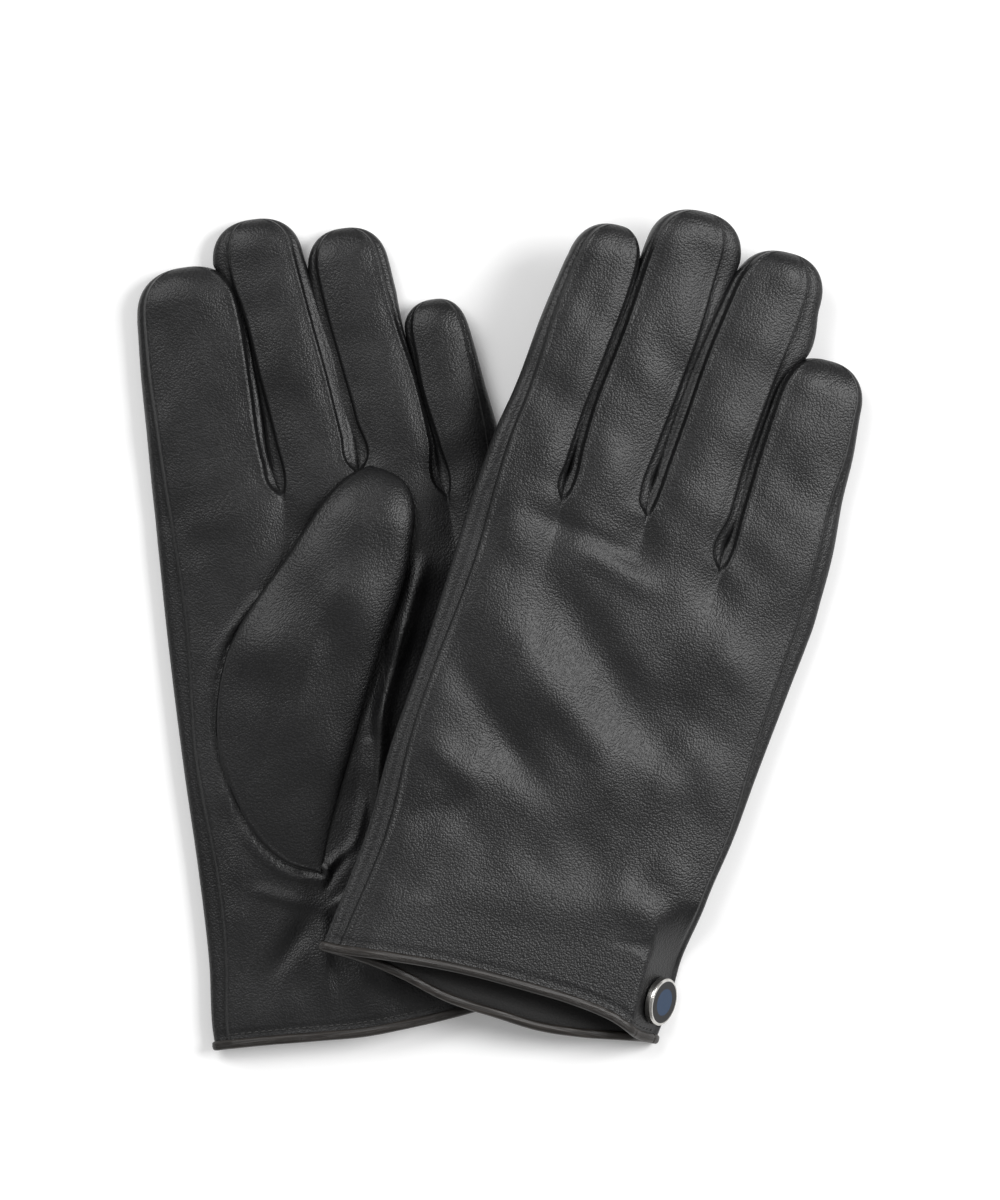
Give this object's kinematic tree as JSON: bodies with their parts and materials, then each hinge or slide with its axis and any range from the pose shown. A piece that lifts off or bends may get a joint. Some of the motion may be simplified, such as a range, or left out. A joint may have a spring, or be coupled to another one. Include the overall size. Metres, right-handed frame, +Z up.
{
  "type": "leather gloves",
  "caption": "Pair of leather dress gloves laid flat, one palm up and one back up on top, each with a press-stud cuff, lining and folded thumb.",
  "frame": {"origin": "middle of the pair's footprint, on the surface that the left glove lies on", "axes": "+Z up, the fingers point towards +Y, the left glove lies at -X"},
  "size_m": [0.2168, 0.257, 0.0363],
  "materials": {
    "glove_leather": "semi-matte pebbled nappa",
    "facing_leather": "smooth matte leather",
    "binding_leather": "slightly worn edge",
    "knit_lining": "fine knit",
    "elastic": "covered elastic",
    "nickel": "polished",
    "enamel": "glossy enamel"
  },
  "bodies": {
    "left_hand": {"left_back_panel": "glove_leather", "left_palm_panel": "glove_leather", "left_hand_lining": "knit_lining", "left_cuff_facing": "facing_leather", "left_cuff_binding": "binding_leather", "left_wrist_elastic": "elastic", "left_vent_underlap": "facing_leather", "left_snap_stud": "nickel"},
    "left_flap": {"left_snap_flap": "glove_leather", "left_snap_cap": "nickel", "left_snap_enamel": "enamel", "left_snap_socket": "nickel"},
    "left_thumb": {"left_thumb_leather": "glove_leather", "left_thumb_lining": "knit_lining"},
    "left_index": {"left_index_back": "glove_leather", "left_index_palm": "glove_leather", "left_index_fourchette": "glove_leather", "left_index_lining": "knit_lining"},
    "left_middle": {"left_middle_back": "glove_leather", "left_middle_palm": "glove_leather", "left_middle_fourchette": "glove_leather", "left_middle_lining": "knit_lining"},
    "left_ring": {"left_ring_back": "glove_leather", "left_ring_palm": "glove_leather", "left_ring_fourchette": "glove_leather", "left_ring_lining": "knit_lining"},
    "left_little": {"left_little_back": "glove_leather", "left_little_palm": "glove_leather", "left_little_fourchette": "glove_leather", "left_little_lining": "knit_lining"},
    "right_hand": {"right_back_panel": "glove_leather", "right_palm_panel": "glove_leather", "right_hand_lining": "knit_lining", "right_cuff_facing": "facing_leather", "right_cuff_binding": "binding_leather", "right_wrist_elastic": "elastic", "right_vent_underlap": "facing_leather", "right_snap_stud": "nickel"},
    "right_flap": {"right_snap_flap": "glove_leather", "right_snap_cap": "nickel", "right_snap_enamel": "enamel", "right_snap_socket": "nickel"},
    "right_thumb": {"right_thumb_leather": "glove_leather", "right_thumb_lining": "knit_lining"},
    "right_index": {"right_index_back": "glove_leather", "right_index_palm": "glove_leather", "right_index_fourchette": "glove_leather", "right_index_lining": "knit_lining"},
    "right_middle": {"right_middle_back": "glove_leather", "right_middle_palm": "glove_leather", "right_middle_fourchette": "glove_leather", "right_middle_lining": "knit_lining"},
    "right_ring": {"right_ring_back": "glove_leather", "right_ring_palm": "glove_leather", "right_ring_fourchette": "glove_leather", "right_ring_lining": "knit_lining"},
    "right_little": {"right_little_back": "glove_leather", "right_little_palm": "glove_leather", "right_little_fourchette": "glove_leather", "right_little_lining": "knit_lining"}
  },
  "joints": [
    {"name": "right_glove_lift", "type": "slide", "parent": "left_hand", "child": "right_hand", "axis": [0, 0, 1], "range_m": [0, 0.08]},
    {"name": "left_index_bend", "type": "hinge", "parent": "left_hand", "child": "left_index", "pos_m": [-0.09102, 0.04539, 0.01], "axis": [0.989, 0.1478, 0], "range_deg": [0, 70]},
    {"name": "left_middle_bend", "type": "hinge", "parent": "left_hand", "child": "left_middle", "pos_m": [-0.05977, 0.05107, 0.01], "axis": [0.989, 0.1478, 0], "range_deg": [0, 70]},
    {"name": "left_ring_bend", "type": "hinge", "parent": "left_hand", "child": "left_ring", "pos_m": [-0.03415, 0.05388, 0.01], "axis": [0.989, 0.1478, 0], "range_deg": [0, 70]},
    {"name": "left_little_bend", "type": "hinge", "parent": "left_hand", "child": "left_little", "pos_m": [-0.01012, 0.0504, 0.01], "axis": [0.989, 0.1478, 0], "range_deg": [0, 70]},
    {"name": "left_thumb_fold", "type": "hinge", "parent": "left_hand", "child": "left_thumb", "pos_m": [-0.07261, -0.07014, 0.01], "axis": [0.96, -0.28, 0], "range_deg": [0, 90]},
    {"name": "left_snap_open", "type": "hinge", "parent": "left_hand", "child": "left_flap", "pos_m": [-0.00126, -0.10429, 0], "axis": [-0.1478, 0.989, 0], "range_deg": [0, 70]},
    {"name": "right_index_bend", "type": "hinge", "parent": "right_hand", "child": "right_index", "pos_m": [0.00942, 0.05004, 0.02242], "axis": [-0.9447, 0.2355, 0.2284], "range_deg": [0, 70]},
    {"name": "right_middle_bend", "type": "hinge", "parent": "right_hand", "child": "right_middle", "pos_m": [0.034, 0.04598, 0.0166], "axis": [-0.9447, 0.2355, 0.2284], "range_deg": [0, 70]},
    {"name": "right_ring_bend", "type": "hinge", "parent": "right_hand", "child": "right_ring", "pos_m": [0.05689, 0.03718, 0.01089], "axis": [-0.9447, 0.2355, 0.2284], "range_deg": [0, 70]},
    {"name": "right_little_bend", "type": "hinge", "parent": "right_hand", "child": "right_little", "pos_m": [0.08093, 0.02294, 0.00461], "axis": [-0.9447, 0.2355, 0.2284], "range_deg": [0, 70]},
    {"name": "right_thumb_fold", "type": "hinge", "parent": "right_hand", "child": "right_thumb", "pos_m": [-0.00906, -0.0497, 0.02097], "axis": [-0.7489, 0.6298, 0.2062], "range_deg": [0, 33]},
    {"name": "right_snap_open", "type": "hinge", "parent": "right_hand", "child": "right_flap", "pos_m": [0.04202, -0.11195, 0.01608], "axis": [-0.2419, -0.9703, 0], "range_deg": [0, 70]}
  ],
  "couplings": [
    {"joint": "right_thumb_fold", "follows": "right_glove_lift", "rad_per_m": 7}
  ]
}
